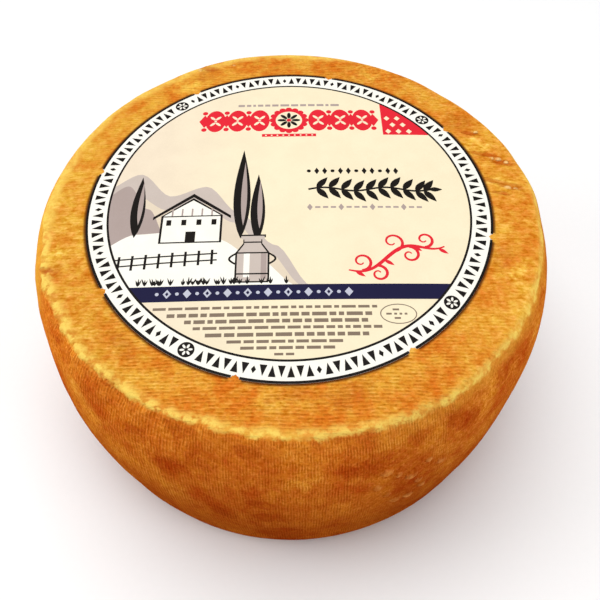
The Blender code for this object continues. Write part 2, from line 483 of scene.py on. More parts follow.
# Marks on the rind: middle (x, y, z), half length and half width, all in millimetres
MILLIMETRE = 0.001
WRINKLES = (
    (38.0, -112.9, 95.6, 3.1, 3.0), (49.3, -110.0, 84.5, 3.3, 3.0), (48.5, -108.4, 110.7, 2.3, 2.5),
    (62.3, -103.2, 84.3, 2.9, 2.6), (55.5, -108.1, 69.0, 2.6, 2.3), (44.7, -113.1, 63.7, 3.1, 2.6),
    (50.7, -110.5, 61.9, 3.0, 2.5), (35.4, -115.2, 84.8, 2.4, 2.5), (43.0, -111.8, 90.5, 2.1, 2.1),
    (56.0, -106.5, 91.5, 2.1, 2.1), (40.0, -114.2, 74.5, 2.2, 2.1), (53.5, -109.0, 76.5, 2.3, 2.3),
)
NUBS = (
    (98.3, 29.0, 122.9, 1.9, 1.5), (95.2, 29.6, 123.1, 1.5, 1.2), (101.8, 27.2, 122.8, 1.4, 1.2),
    (99.5, 10.7, 123.0, 2.1, 1.6), (103.0, 10.1, 122.7, 1.5, 1.2), (90.5, 47.8, 123.2, 1.4, 1.0),
    (-48.0, 96.0, 122.9, 1.6, 1.4), (-30.0, 100.0, 123.0, 1.4, 1.0),
)
FURROWS = (
    (92.5, 32.2, 123.2, 8.5, 2.1), (100.0, 26.8, 122.9, 7.0, 2.4), (94.0, 15.0, 123.2, 8.5, 1.7),
    (101.2, 11.5, 122.9, 8.0, 2.6), (96.0, 7.0, 123.1, 6.0, 1.4), (88.0, 47.0, 123.2, 6.0, 1.8),
    (-43.0, 97.5, 122.9, 7.0, 2.6), (-104.0, -35.0, 122.8, 7.0, 1.6),
)
DARK_PATCHES = (
    (-89.8, -69.7, 116.4, 9.0, 7.0), (-58.7, -100.9, 108.1, 8.0, 7.0), (-49.4, -109.0, 92.4, 9.0, 8.0),
    (-38.1, -105.9, 118.5, 8.0, 5.0), (-33.0, -112.0, 107.5, 11.0, 10.0), (-45.0, -111.0, 100.0, 10.0, 8.0),
    (-28.6, -118.2, 62.9, 10.0, 9.0), (-14.1, -111.9, 118.1, 8.0, 6.0), (-11.0, -120.5, 79.7, 8.0, 7.0),
    (-8.9, -121.2, 64.0, 9.0, 8.0), (24.0, -115.0, 105.0, 9.0, 7.0), (35.0, -113.0, 103.5, 13.0, 9.5),
    (49.6, -105.4, 109.3, 9.0, 6.5), (-66.5, -87.0, 122.5, 9.0, 4.5), (71.6, -93.7, 103.9, 7.0, 8.5),
    (65.5, -98.5, 112.0, 6.5, 7.0), (86.2, -77.7, 110.4, 8.0, 7.0), (100.0, -56.5, 113.4, 6.5, 8.0),
    (88.4, -28.0, 123.6, 9.0, 8.0), (83.3, 53.7, 123.3, 11.0, 9.0), (0.0, -93.5, 123.6, 16.0, 5.0),
    (23.0, -93.0, 123.6, 14.0, 6.0), (-64.0, -72.0, 123.7, 12.0, 6.0), (-44.4, 92.6, 123.1, 10.0, 8.0),
    (-97.2, -36.5, 123.0, 8.0, 5.0),
)
LIGHT_PATCHES = (
    (-85.3, -81.2, 104.3, 9.0, 8.0), (-75.9, -91.8, 96.0, 8.0, 8.0), (-47.9, -111.7, 68.5, 11.0, 12.0),
    (5.0, -118.5, 99.5, 8.0, 6.0), (102.0, -55.6, 110.0, 8.0, 9.0), (95.6, -36.3, 123.1, 8.0, 7.0),
    (91.0, 38.2, 123.3, 6.0, 6.0), (-101.0, -27.4, 123.0, 8.0, 6.0), (-54.5, 81.3, 123.4, 11.0, 9.0),
    (43.4, 93.9, 123.2, 13.0, 8.0),
)
SMOOTH_PATCH = (45.5, -112.8, 79.0, 24.0, 39.0)
SMOOTH_LINE = (1.0, 0.4, 0.0)
NUB_LINE = (1.0, -0.1, 0.0)
FURROW_LINE = (1.0, -0.2, 0.0)

# Cloth marks of the rind, and the shades that multiply its colours
THREAD_PITCH = 0.00145
RIB_COUNT = 640
CROSS_PITCH = 0.0013
DEEP_SHADE = (0.76, 0.60, 0.20)
LIT_SHADE = (1.24, 1.45, 2.90)
DARK_SHADE = (0.74, 0.47, 0.38)
PALE_SHADE = (1.12, 1.40, 1.60)
# FAR_LEFT_SHADE is a painted shade that darkens the far left of the top
FAR_LEFT_SHADE = (0.95, 0.98, 1.00)
RIGHT_SHADE = (0.89, 0.94, 1.02)


def warp(board, place, scale, amount):
    """The place moved about by a noise, so that a spot drawn there has an uneven edge."""
    moved = board.vector_math("MULTIPLY_ADD", board.noise(place, scale, output=1), (amount,) * 3, place)
    return board.vector_math("SUBTRACT", moved, (amount / 2,) * 3)


def marks(board, place, spots, line=None):
    """Long soft spots, 1 in the middle and 0 outside; without a line, each lies level along the side."""
    total = 0.0
    for spot in spots:
        *middle, half_length, half_width = [size * MILLIMETRE for size in spot]
        along = Vector(line or (-middle[1], middle[0], 0.012)).normalized()
        away = board.vector_math("SUBTRACT", place, tuple(middle))
        share = board.vector_math("DOT_PRODUCT", away, tuple(along), output=1)
        whole = board.vector_math("DOT_PRODUCT", away, away, output=1)
        square = share * share
        spread = square * (1.0 / half_length ** 2) + (whole - square) * (1.0 / half_width ** 2)
        total = spread.ease(1.0, 0.1) + total
    return total


def rind_material(look):
    """Oiled rind: mottled gold and orange on top, russet on the side, with the cloth's lines."""
    material, board, shader = new_material("oiled_rind", 0.0)
    place = board.place()
    x, y, z = board.parts(place)
    slow = board.noise(place, 26.0, 2.0)
    quick = board.noise(place, 150.0, 3.0, 0.6)
    grain = board.noise(place, 800.0, 3.0, 0.62)
    mottle = board.noise(place, 360.0, 3.0, 0.6)
    level = board.vector(x * 0.5, y, z)
    fibre = board.noise(level, 900.0, 3.0, 0.6)
    coarse = board.noise(level, 430.0, 2.0, 0.5)
    patches = board.noise(place, 60.0, 4.0, 0.62).ease(0.36, 0.64)
    blotches = board.noise(place, 170.0, 4.0, 0.65).ease(0.38, 0.64)
    stains = board.noise(board.vector(x, y, z * 0.6), 48.0, 4.0, 0.62).ease(0.36, 0.68)
    speckle = mottle.ease(0.40, 0.60)
    warped = warp(board, place, 260.0, 0.0026)
    smooth = marks(board, warped, [SMOOTH_PATCH], SMOOTH_LINE)
    tone = board.attribute("tone") * (blotches * 0.6 + speckle * 0.8 + 0.2) + (speckle - 0.5) * 0.12
    dark = tone.ease(-0.05, -1.05)
    light = tone.ease(0.05, 1.05)
    at_side = abs(x).ease(0.050, 0.095)

    shift = x.ease(0.015, 0.055) * 0.0022 + (slow - 0.5) * 0.004 + (quick - 0.5) * 0.005
    past = board.attribute("reach") - SHOULDER_START - shift - (grain - 0.5) * 0.0016
    side = past.ease(0.0006, 0.0026)
    inner = past + x.ease(-0.098, -0.118) * 0.004 - x.ease(0.0, 0.06) * 0.0015
    inner = inner - y.ease(-0.075, -0.110) * x.ease(-0.075, -0.045) * 0.0006
    outer = past - x.ease(0.080, 0.115) * 0.0015 - x.ease(0.015, 0.045) * x.ease(0.085, 0.055) * 0.0012
    crest = inner.ease(-0.0050, -0.0004) * outer.ease(0.0026, 0.0)

    thread_lines = (y + (slow - 0.5) * 0.003 + (quick - 0.5) * 0.0016).wave(THREAD_PITCH)
    thread_wear = board.noise(board.vector(x * 0.60, y, 0.0), 560.0, 3.0, 0.6).ease(0.36, 0.62)
    thread_wear = thread_wear * (1.0 - crest * 0.6) * (1.0 - at_side * 0.6)
    threads = thread_lines.ease(0.60, 0.05) * thread_wear
    round_wheel = board.math("ARCTAN2", y, x) + x.ease(-0.03, -0.10) * 0.105
    rib_lines = (round_wheel + (quick - 0.5) * 0.012).wave(math.tau / RIB_COUNT)
    plain = x.ease(0.050, 0.080) * 0.75 + x.ease(-0.080, -0.100) * 0.5
    plain = board.math("MAXIMUM", plain, smooth * 0.8)
    rib_wear = board.noise(board.vector(x, y, z * 0.40), 560.0, 3.0, 0.6).ease(0.34, 0.62) * (1.0 - plain)
    ribs = rib_lines.ease(0.65, 0.1) * rib_wear
    cross = (z + (quick - 0.5) * 0.002).wave(CROSS_PITCH).ease(0.6, 0.0)

    top = board.blend(patches * 0.5 + blotches * 0.35 + at_side * 0.15, look.orange, look.gold)
    # Painted shade: the top a little darker towards the far left
    top = top.shaded(x.ease(-0.045, -0.085), FAR_LEFT_SHADE)
    top = top.shaded(dark * 0.6, DARK_SHADE).shaded(light * 0.7, PALE_SHADE)
    calm = 1.0 - y.ease(-0.020, 0.040) * x.ease(0.050, -0.030) * 0.45
    deep = fibre.ease(0.48, 0.32) * 0.60 + mottle.ease(0.46, 0.32) * 0.40
    deep = deep + coarse.ease(0.48, 0.34) * at_side * 0.65
    top = top.shaded(deep * (1.0 - crest * 0.5) * calm + threads * 0.45, DEEP_SHADE)
    lit = fibre.ease(0.52, 0.68) * 0.52 + mottle.ease(0.54, 0.68) * 0.32
    lit = lit + coarse.ease(0.52, 0.66) * at_side * 0.50
    top = top.shaded(lit * calm + thread_lines.ease(0.5, 1.0) * thread_wear * 0.28, LIT_SHADE)

    # Painted light: the flank a little more ochre and lighter towards the left
    ochre = patches * 0.35 + blotches * 0.25 + stains * 0.4 + x.ease(-0.04, -0.09) * 0.10
    # Darker towards the foot and low at the front: partly the rind's own colour, partly painted shade
    low = board.blend(stains * 0.7 + blotches * 0.3, look.umber, look.tan)
    flank = board.blend(ochre, look.russet, look.ochre).toward(z.ease(0.122, 0.030) * 0.88, low)
    foot = z.ease(0.085, 0.050) * 0.30 + z.ease(0.055, 0.035) * 0.20
    flank = flank.shaded(foot * x.ease(-0.035, -0.005), DARK_SHADE).shaded(x.ease(0.010, 0.050), RIGHT_SHADE)
    flank = flank.shaded(dark * 0.85 + smooth * 0.50, DARK_SHADE).shaded(light * 0.7, PALE_SHADE)
    deep = grain.ease(0.48, 0.32) * (0.65 + plain * 0.40) + mottle.ease(0.46, 0.32) * 0.38
    flank = flank.shaded(deep + ribs * 0.60 + cross * 0.1, DEEP_SHADE)
    lit = grain.ease(0.52, 0.68) * (0.80 + plain * 0.45) + mottle.ease(0.54, 0.68) * 0.36
    flank = flank.shaded(lit + rib_lines.ease(0.5, 1.0) * rib_wear * 0.60, LIT_SHADE)
    # Painted sheen: paler gold just under the edge, most on the right, and on the upper left flank
    golden_sheen = past.ease(0.012, 0.001) * (0.08 + x.ease(0.00, 0.11) * 0.40)
    left_rim_sheen = x.ease(-0.095, -0.112) * y.ease(-0.066, -0.030) * z.ease(0.082, 0.112)
    golden_sheen = (golden_sheen + left_rim_sheen * 0.6) * (quick + 0.3) + left_rim_sheen * 0.2
    skin = top.toward(side, flank.toward(golden_sheen, look.gold))

    # The pale edge between top and side: rubbed wear together with a painted sheen
    tufts = (board.noise(place, 230.0, 3.0, 0.6) * 0.6 + board.attribute("pleat") * 0.4).ease(0.43, 0.55)
    backward = y.ease(-0.040, 0.005)
    # Painted shade in the gaps between the pleats on the left front of the edge: there the pale edge colour
    # is weaker and the colour darker
    pleat_gap_shade = x.ease(0.02, -0.10) * (1.0 - backward) * (1.0 - tufts)
    strength = tufts * (0.66 - backward * 0.40) + 0.24 + backward * 0.22 - pleat_gap_shade * 0.14
    rubbed_and_sheen = crest * strength * (1.0 - dark * 0.4) * (grain.ease(0.26, 0.52) * 0.5 + 0.5)
    skin = skin.shaded(crest * pleat_gap_shade * 0.45, DARK_SHADE).toward(rubbed_and_sheen, look.crest)

    crumpled = warp(board, place, 300.0, 0.0022)
    wrinkles = marks(board, crumpled, WRINKLES) * (speckle * 0.6 + 0.4)
    # The same lumps moved up a little, for the painted shadow under them
    under = marks(board, board.vector_math("ADD", crumpled, (0.0, 0.0, 0.0026)), WRINKLES) * (1.0 - wrinkles)
    nubs = marks(board, place, NUBS, NUB_LINE)
    furrows = marks(board, warped, FURROWS, FURROW_LINE)
    # Low on the side: a painted shadow under each small lump and a paler painted highlight on its top
    skin = skin.shaded(under * 0.5, DARK_SHADE).toward(wrinkles * 0.32, look.lump_highlight)
    # On the top: painted shade in the furrows and a painted highlight on the nubs beside them
    skin = skin.shaded(furrows * 0.9, DARK_SHADE).toward(nubs * 0.9, look.nub_highlight)
    # A painted shadow along the label's edge on the rind, broken at the nicks
    from_label = board.vector_math("LENGTH", board.vector(x, y - LABEL_SHIFT, 0.0), output=1)
    round_label = board.math("ARCTAN2", y - LABEL_SHIFT, x) - FIRST_NICK_ANGLE - LABEL_TURN
    label_edge_shadow = from_label.ease(LABEL_RADIUS + 0.0016, LABEL_RADIUS + 0.0003)
    label_edge_shadow = label_edge_shadow * (1.0 - round_label.wave(math.tau / NICKS).ease(0.982, 0.994))
    label_edge_shadow = label_edge_shadow * from_label.ease(LABEL_RADIUS - 0.0008, LABEL_RADIUS - 0.0002) * z.ease(0.05, 0.1)
    board.join(skin.toward(label_edge_shadow * 0.9, look.label_edge_shadow), shader.inputs["Base Color"])

    board.join(0.52 + threads * 0.12 - crest * 0.12, shader.inputs["Roughness"])
    cloth = board.add("ShaderNodeMix", None, {0: side, 2: threads, 3: ribs * 0.8 + cross * 0.2})
    height = grain * 0.9 - cloth * 1.1 + blotches * 0.6 + nubs * 2.5 - furrows * 1.5 + wrinkles * 2.2
    add_bump(board, shader, height)
    return material


class CHEESE_OT_rind(bpy.types.Operator):
    """Make the wheel's rind with its relief and finish"""
    bl_idname = "cheese_wheel.make_rind"
    bl_label = "Make Rind"

    def execute(self, context):
        look = context.scene.rind_settings
        draft = placed("rind_draft", turned_rind())
        modifier = draft.modifiers.new("Relief", "NODES")
        modifier.node_group = relief_tree()
        values = {socket_name(setting): getattr(look, setting) for setting in (*RELIEF_SIZES, "seed")}
        values["Material"] = rind_material(look)
        for item in modifier.node_group.interface.items_tree:
            if item.in_out == "INPUT" and item.name in values:
                modifier[item.identifier] = values[item.name]
        rind = made_plain(draft, "rind_wheel")
        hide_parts("cheese_wheel")
        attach(rind, "root")
        return {"FINISHED"}


# Print shapes, in label radii from the label's middle: an outline is a list of (x, y)

class Layers(list):
    """Outlines in the order that they are laid down, each with its ink; later ones cover earlier ones."""

    def put(self, ink, *outlines):
        self.extend((ink, outline) for outline in outlines)


def oval(x, y, half_wide, half_high, turn=0.0, steps=20):
    shape = []
    for step in range(steps):
        across, up = around(1.0, math.tau * step / steps)
        across, up = half_wide * across, half_high * up
        shape.append((x + across * math.cos(turn) - up * math.sin(turn),
                      y + across * math.sin(turn) + up * math.cos(turn)))
    return shape


def disc(x, y, radius, steps=20):
    return oval(x, y, radius, radius, 0.0, steps)


def petals(x, y, count, reach, half_long, half_wide, steps, start=0.0):
    """Ovals set round (x, y), each pointing outwards."""
    angles = [start + math.tau / count * petal for petal in range(count)]
    return [oval(*around(reach, angle, x, y), half_long, half_wide, angle, steps) for angle in angles]


def bar(left, low, right, high):
    return [(left, low), (right, low), (right, high), (left, high)]


def post(x, half_wide, low, high):
    return bar(x - half_wide, low, x + half_wide, high)


def lozenge(x, y, half_wide, half_high):
    return [(x - half_wide, y), (x, y - half_high), (x + half_wide, y), (x, y + half_high)]


def arc_band(inner, outer, start, end, steps):
    """A stretch of a ring, with its angles in radians."""
    angles = [start + (end - start) * step / steps for step in range(steps + 1)]
    return [around(outer, angle) for angle in angles] + [around(inner, angle) for angle in reversed(angles)]


def leaf(x, y, angle, length, width, steps=8):
    """A pointed leaf from its root at (x, y)."""
    edge = []
    for step in range(steps + 1):
        share = step / steps
        edge.append((length * share, width / 2 * math.sin(math.pi * share ** 0.8)))
    outline = edge + [(along, -across) for along, across in reversed(edge[1:-1])]
    return [(x + along * math.cos(angle) - across * math.sin(angle),
             y + along * math.sin(angle) + across * math.cos(angle)) for along, across in outline]


def stroke(path, widths):
    """A brush stroke along a path, as wide as stated at each point, as one outline for each step."""
    left = []
    right = []
    for index, (x, y) in enumerate(path):
        before, after = path[max(index - 1, 0)], path[min(index + 1, len(path) - 1)]
        run = Vector((after[0] - before[0], after[1] - before[1])).normalized()
        half = widths[index] / 2
        left.append((x - run.y * half, y + run.x * half))
        right.append((x + run.y * half, y - run.x * half))
    return [[left[step], right[step], right[step + 1], left[step + 1]] for step in range(len(path) - 1)]


def curl(x, y, start, turns, size, width, steps=26):
    """A tendril that winds inwards from its root at (x, y)."""
    middle = around(-size, start, x, y)
    shares = [step / steps for step in range(steps + 1)]
    path = [around(size * (1.0 - 0.8 * share), start + math.tau * turns * share, *middle) for share in shares]
    return stroke(path, [width * (1.0 - 0.6 * step / steps) for step in range(steps + 1)])


def dashes(dice, left, right, y, height, longest=0.07):
    """A row of short dashes of uneven length."""
    row = []
    x = left
    while x < right - 0.012:
        length = min(dice.uniform(0.3, 1.0) * longest, right - x)
        row.append(bar(x, y - height / 2, x + length, y + height / 2))
        x += length + 0.011
    return row


def hill(left, right, base, *heights):
    """Rising ground: a smooth line through evenly spaced heights, down to a level base."""
    heights = (*heights, base)
    steps = 40
    line = []
    for step in range(steps + 1):
        share = step / steps * (len(heights) - 1)
        index = min(int(share), len(heights) - 2)
        part = smooth_step(share - index)
        height = heights[index] * (1 - part) + heights[index + 1] * part
        line.append((left + (right - left) * step / steps, height))
    return [(left, base), (right, base), *reversed(line)]


# Layout of the print, in label radii
GROUND_RADIUS = 0.893
LINE_WIDTH = 0.011
FRIEZE_RADIUS = 0.944
FRIEZE_HEIGHT = 0.054
FRIEZE_PITCH = 0.0415
BORDER_INNER = 0.9875
BAND_LOW, BAND_HIGH = -0.590, -0.507
RED_ROW = 0.595
STAMP = (0.477, -0.667)
ROSETTE_ANGLES = (39.4, 129.1, 241.8, 319.9)
SMALL_ROWS = (
    (-0.628, -0.610, 0.385, 0.014), (-0.664, -0.545, 0.360, 0.019), (-0.698, -0.465, 0.340, 0.019),
    (-0.731, -0.425, 0.400, 0.015), (-0.766, -0.370, 0.340, 0.019), (-0.800, -0.275, 0.245, 0.015),
    (-0.831, -0.215, 0.190, 0.015), (-0.862, -0.070, 0.015, 0.012),
)


def house_shapes():
    """The front of a farmhouse with its roof, beams, windows and door."""
    left, right, foot, eaves, gable = -0.62, -0.33, -0.26, -0.09, 0.03
    middle = (left + right) / 2
    shapes = Layers()
    for ink, inset, low, peak in (("black", -0.005, foot, gable - 0.005),
                                  ("white", 0.006, foot + 0.008, gable - 0.020)):
        shapes.put(ink, [(left + inset, low), (right - inset, low), (right - inset, eaves),
                         (middle, peak), (left + inset, eaves)])
    shapes.put("mauve", *(post(left + (right - left) * beam / 6, 0.004, eaves - 0.002, eaves + 0.045)
                          for beam in range(1, 6)))
    shapes.put("black", bar(left, eaves - 0.007, right, eaves),
               [(left - 0.045, eaves - 0.022), (middle, gable), (right + 0.045, eaves - 0.022),
                (right + 0.045, eaves - 0.004), (middle, gable + 0.024), (left - 0.045, eaves - 0.004)])
    shapes.put("black", *(post(left + 0.035 + 0.073 * column, 0.012, -0.150, -0.115) for column in range(4)))
    shapes.put("black", post(middle, 0.024, foot, foot + 0.07))
    return shapes


def churn_shapes(x, foot):
    """A milk churn with a lid and two handles."""
    edge = [(0.075, 0.0), (0.080, 0.02), (0.080, 0.17), (0.045, 0.225), (0.045, 0.255), (0.062, 0.262),
            (0.062, 0.278)]
    outline = [(-0.075, 0.0), *edge, *((-across, up) for across, up in reversed(edge[1:]))]
    shapes = Layers()
    for side in (-1, 1):
        grip = [(x + side * (0.078 + 0.03 * math.sin(math.pi * step / 8)), foot + 0.165 - 0.06 * step / 8)
                for step in range(9)]
        shapes.put("black", *stroke(grip, [0.010] * 9))
    shapes.put("black", [(x + across, foot + up) for across, up in outline])
    shapes.put("grey", [(x + across * 0.89, foot + 0.008 + up * 0.94) for across, up in outline])
    shapes.put("white", bar(x - 0.040, foot + 0.03, x - 0.012, foot + 0.165))
    shapes.put("mauve", bar(x + 0.040, foot + 0.02, x + 0.066, foot + 0.165))
    for half, low in ((0.076, 0.045), (0.076, 0.165), (0.045, 0.228)):
        shapes.put("black", post(x, half, foot + low, foot + low + 0.008))
    return shapes


def picture_shapes(dice):
    """The picture on the left: hills, a farmhouse, trees, a fence and a milk churn."""
    low = BAND_HIGH - 0.01
    shapes = Layers()
    shapes.put("grey", hill(-0.93, 0.10, low, 0.10, 0.20, 0.04, 0.10, -0.08, -0.28))
    shapes.put("blush", hill(-0.93, 0.06, low, -0.02, 0.05, -0.05, -0.01, -0.14, -0.32))
    shapes.put("mauve", hill(-0.93, -0.46, low, 0.04, 0.12, -0.04, -0.24))
    shapes.put("white", hill(-0.93, 0.04, low, -0.30, -0.20, -0.19, -0.24, -0.36))
    shapes += house_shapes()
    trees = ((-0.235, -0.24, 0.60, 0.085), (-0.155, -0.26, 0.44, 0.072), (-0.745, -0.22, 0.40, 0.070))
    for x, foot, height, width in trees:
        shapes.put("black", leaf(x, foot, math.pi / 2, height, width, 12))
        shapes.put("mauve", leaf(x + 0.010, foot + 0.08, math.pi / 2, height * 0.72, width * 0.35, 10))
    for index in range(9):
        rise = 0.004 * index
        shapes.put("black", post(-0.86 + 0.062 * index, 0.006, -0.42 + rise, -0.335 + rise))
    for rail in (-0.355, -0.393):
        path = [(-0.88, rail), (-0.60, rail + 0.018), (-0.34, rail + 0.030)]
        shapes.put("black", *stroke(path, [0.008] * 3))
    shapes += churn_shapes(-0.175, -0.495)
    for tuft in range(26):
        x = dice.uniform(-0.72, 0.0)
        for lean in (-0.35, 0.0, 0.35):
            shapes.put("black", leaf(x, -0.503, math.pi / 2 + lean, dice.uniform(0.025, 0.05), 0.008, 4))
    return shapes


def flower_shapes(x, y, radius):
    """A red scalloped rosette round a plain eight-petalled flower."""
    shapes = Layers()
    scallops = [around(radius * 0.88, math.pi / 8 * scallop, x, y) for scallop in range(16)]
    shapes.put("red", *(disc(*place, radius * 0.19, 10) for place in scallops), disc(x, y, radius * 0.92, 32))
    shapes.put("cream", disc(x, y, radius * 0.72, 32))
    shapes.put("black", *petals(x, y, 8, radius * 0.38, radius * 0.25, radius * 0.105, 10))
    shapes.put("red", disc(x, y, radius * 0.13, 10))
    return shapes


def red_row_shapes():
    """The row of red ovals and lozenges with its rosette and the small bar under it."""
    shapes = Layers()
    for side in (-1, 1):
        places = [side * (0.160 + 0.120 * index) for index in range(3)]
        for x in places:
            between = x + side * 0.060
            shapes.put("red", lozenge(between, RED_ROW, 0.030, 0.052),
                       disc(between, 0.527, 0.015, 10), disc(between, 0.663, 0.015, 10))
        for x in places:
            shapes.put("red", oval(x, RED_ROW, 0.055, 0.088, 0.0, 24))
            for petal in range(4):
                angle = math.pi / 4 + math.pi / 2 * petal
                place = (x + 0.021 * math.cos(angle), RED_ROW + 0.034 * math.sin(angle))
                shapes.put("cream", oval(*place, 0.020, 0.008, angle, 10))
            shapes.put("cream", disc(x, RED_ROW, 0.007, 8))
    shapes += flower_shapes(0.0, RED_ROW, 0.100)
    shapes.put("red", post(0.0, 0.145, 0.462, 0.484))
    shapes.put("cream", *(disc(-0.124 + 0.031 * index, 0.473, 0.005, 8) for index in range(9)))
    return shapes


def ornament_shapes(dice):
    """The red row at the top, the red field, the sprig and the curled vine."""
    shapes = red_row_shapes()
    shapes.put("mauve", *dashes(dice, -0.28, 0.28, 0.722, 0.018, 0.05))
    shapes.put("red", [(0.505, 0.475), (0.80, 0.475), (0.80, 0.640), (0.62, 0.745), (0.505, 0.745)])
    for row in range(5):
        for column in range(6):
            x = 0.535 + 0.056 * column + 0.028 * (row % 2)
            y = 0.503 + 0.053 * row
            if x * x + y * y < 0.86 ** 2:
                shapes.put("cream", lozenge(x, y, 0.016, 0.019))
    shares = [step / 30 for step in range(31)]
    stem = [(0.095 + 0.62 * step / 30, 0.072 + 0.012 * math.sin(share * 4 * math.pi))
            for step, share in enumerate(shares)]
    shapes.put("black", *stroke(stem, [0.012] * 31))
    for index in range(10):
        x, y = stem[2 + index * 3 - (index == 9)]
        shapes.put("black", *(leaf(x, y, side * math.radians(52), 0.094, 0.036) for side in (-1, 1)))
    shapes.put("black", leaf(0.700, 0.072, 0.0, 0.07, 0.030))
    for index in range(12):
        x = 0.100 + 0.0405 * index
        shapes.put("black", lozenge(x, 0.200, 0.013, 0.024) if index % 3 else disc(x, 0.200, 0.011, 10))
    for index in range(15):
        x = 0.100 + 0.0385 * index
        shapes.put("mauve", post(x, 0.013, -0.054, -0.042) if index % 4 else lozenge(x, -0.048, 0.014, 0.022))
    vine = [(0.27 + 0.46 * step / 30, -0.43 + 0.17 * share - 0.035 * math.sin(share * 2.6 * math.pi))
            for step, share in enumerate(shares)]
    shapes.put("red", *stroke(vine, [0.008 + 0.011 * math.sin(math.pi * step / 30) for step in range(31)]))
    for index, (turn, size) in enumerate(((1, 0.052), (-1, 0.046), (1, 0.058), (-1, 0.048), (1, 0.046))):
        x, y = vine[4 + 5 * index]
        shapes.put("red", *curl(x, y + turn * 0.004, -turn * math.pi / 2, turn * 1.15, size, 0.016))
    shapes.put("red", *(leaf(*vine[index], math.radians(-35), 0.055, 0.020, 6) for index in (2, 11, 20, 28)))
    return shapes


def lower_shapes(dice):
    """The navy band with its pale marks, the small rows under it and the oval stamp."""
    shapes = Layers()
    shapes.put("navy", bar(-0.80, BAND_LOW, 0.80, BAND_HIGH))
    middle = (BAND_LOW + BAND_HIGH) / 2
    for index in range(20):
        x = -0.60 + 0.0455 * index
        shapes.put("silver", lozenge(x, middle, 0.019, 0.024) if index % 2 else disc(x, middle, 0.009, 8))
        if index % 4 == 1:
            shapes.put("navy", lozenge(x, middle, 0.008, 0.011))
    for y, left, right, height in SMALL_ROWS:
        shapes.put("brown", *dashes(dice, left, right, y, height, 0.055 + height))
    shapes.put("brown", oval(*STAMP, 0.082, 0.052, 0.0, 32))
    shapes.put("cream", oval(*STAMP, 0.077, 0.047, 0.0, 32))
    for y, half in ((-0.645, 0.025), (-0.667, 0.055), (-0.689, 0.020)):
        shapes.put("brown", *dashes(dice, STAMP[0] - half, STAMP[0] + half, y, 0.010, 0.03))
    return shapes


def nick_parts():
    """Start and end angle of each part of the edge between two nicks."""
    starts = [FIRST_NICK_ANGLE + math.tau / NICKS * part for part in range(NICKS)]
    return [(start, start + math.tau / NICKS) for start in starts]


def border_shapes():
    """The white ring with its thin inner line, its frieze of triangles, its rosettes and its dark edge."""
    shapes = Layers()
    half_line = LINE_WIDTH / 2
    gap = 0.95 * NICK_STEP_ANGLE
    for start, end in nick_parts():
        shapes.put("white", arc_band(GROUND_RADIUS, 1.0, start, end, 90))
        shapes.put("black", arc_band(GROUND_RADIUS - half_line, GROUND_RADIUS + half_line, start, end, 45),
                   arc_band(BORDER_INNER, 1.0, start + gap, end - gap, 88))
    angles = [math.radians(angle) for angle in ROSETTE_ANGLES]
    for start, end in zip(angles, angles[1:] + [angles[0] + math.tau]):
        shapes += frieze_shapes(start + 0.075, end - 0.075)
        x, y = around(FRIEZE_RADIUS, start)
        shapes.put("black", disc(x, y, 0.037, 24))
        shapes.put("white", *petals(x, y, 6, 0.018, 0.011, 0.0055, 8, start))
    return shapes


def frieze_shapes(start, end):
    """Triangles that point in and out by turns, with a lozenge after every sixth."""
    shapes = Layers()
    count = int((end - start) / FRIEZE_PITCH)
    for index in range(count + 1):
        angle = start + (end - start) * index / count
        out, across = Vector((math.cos(angle), math.sin(angle))), Vector((-math.sin(angle), math.cos(angle)))
        middle = out * FRIEZE_RADIUS
        if index % 7 == 6:
            corners = [middle + out * 0.018, middle + across * 0.011,
                       middle - out * 0.018, middle - across * 0.011]
        else:
            point = out * (FRIEZE_HEIGHT / 2) * (1 if index % 2 else -1)
            corners = [middle + point, middle - point + across * 0.0165, middle - point - across * 0.0165]
        shapes.put("black", [tuple(corner) for corner in corners])
    return shapes


# The label's sheet

def label_outline():
    """The label's edge with its stepped nicks, at the same angles as the border's parts."""
    nick = ((NICK_DEPTH / LABEL_RADIUS, 0.0), (NICK_STEP, NICK_HALF_ANGLE),
            (NICK_STEP * 0.9, NICK_STEP_ANGLE * 0.75), (0.0, NICK_STEP_ANGLE))
    outline = []
    for start, end in nick_parts():
        outline += [around(1.0 - depth, start + turn) for depth, turn in nick]
        outline += [around(1.0, start + (end - start) * step / 90) for step in range(3, 88)]
        outline += [around(1.0 - depth, end - turn) for depth, turn in reversed(nick[1:])]
    return outline


def anticlockwise(shape):
    """The same outline, turned to run anticlockwise."""
    area = 0.0
    for (x, y), (next_x, next_y) in zip(shape, shape[1:] + shape[:1]):
        area += x * next_y - next_x * y
    return shape if area > 0 else shape[::-1]


def with_short_edges(shape, longest=0.10):
    """The same outline with points added on its long edges, so that they can follow the dome."""
    points = []
    for (x, y), (next_x, next_y) in zip(shape, shape[1:] + shape[:1]):
        pieces = max(1, math.ceil(math.hypot(next_x - x, next_y - y) / longest))
        for piece in range(pieces):
            share = piece / pieces
            points.append((x + (next_x - x) * share, y + (next_y - y) * share))
    return points


def dome_points(spacing=0.11, reach=0.97):
    """Evenly spaced points inside the label, so that its mesh can follow the dome."""
    rows = range(-int(reach / spacing), int(reach / spacing) + 1)
    points = [((column + 0.5 * (row % 2)) * spacing, row * spacing) for row in rows for column in rows]
    return [(x, y) for x, y in points if math.hypot(x, y) < reach]


